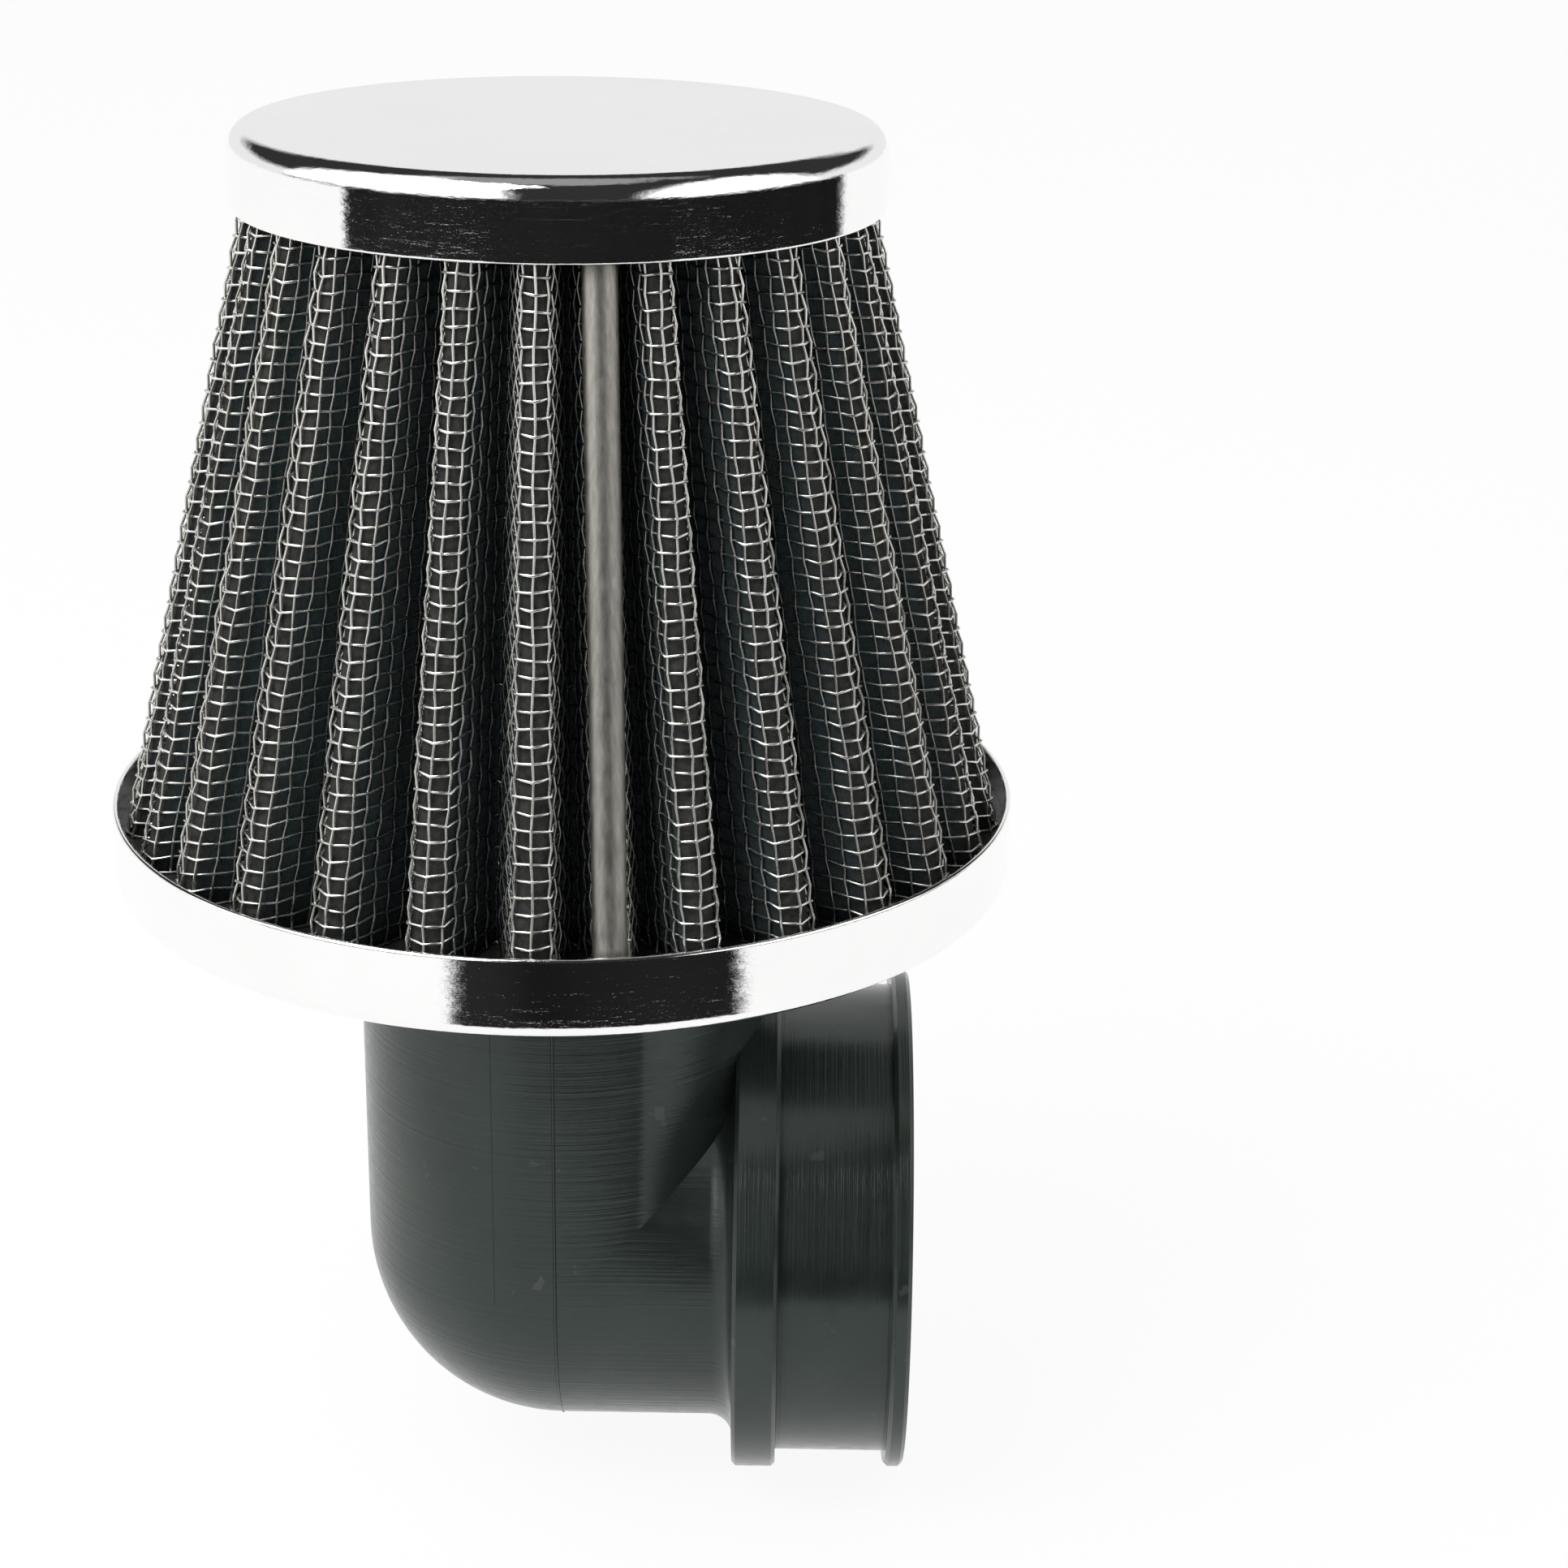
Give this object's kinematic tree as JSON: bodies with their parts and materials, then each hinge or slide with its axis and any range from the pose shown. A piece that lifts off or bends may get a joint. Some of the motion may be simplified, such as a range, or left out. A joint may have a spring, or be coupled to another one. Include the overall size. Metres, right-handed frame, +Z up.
{
  "type": "performance air filter",
  "caption": "Cone air filter with pleated wire cloth, chromed cap and base ring, on a mitred rubber elbow with a clamp seat.",
  "frame": {"origin": "centre of the outlet's mouth, on the outlet's axis", "axes": "+X out of the outlet's mouth, +Z up along the filter's axis, towards the cap"},
  "size_m": [0.09, 0.09, 0.1415],
  "materials": {
    "chrome": "polished",
    "wire_cloth": "bright wire",
    "satin_steel": "satin",
    "cotton_gauze": "oiled cloth",
    "sealant": "cast",
    "rubber": "satin"
  },
  "bodies": {
    "root": {"top_cap": "chrome", "base_ring": "chrome", "outer_mesh": "wire_cloth", "filter_medium": "cotton_gauze", "inner_mesh": "wire_cloth", "seam_clip": "satin_steel", "top_sealant": "sealant", "base_sealant": "sealant", "rubber_elbow": "rubber"}
  },
  "joints": []
}
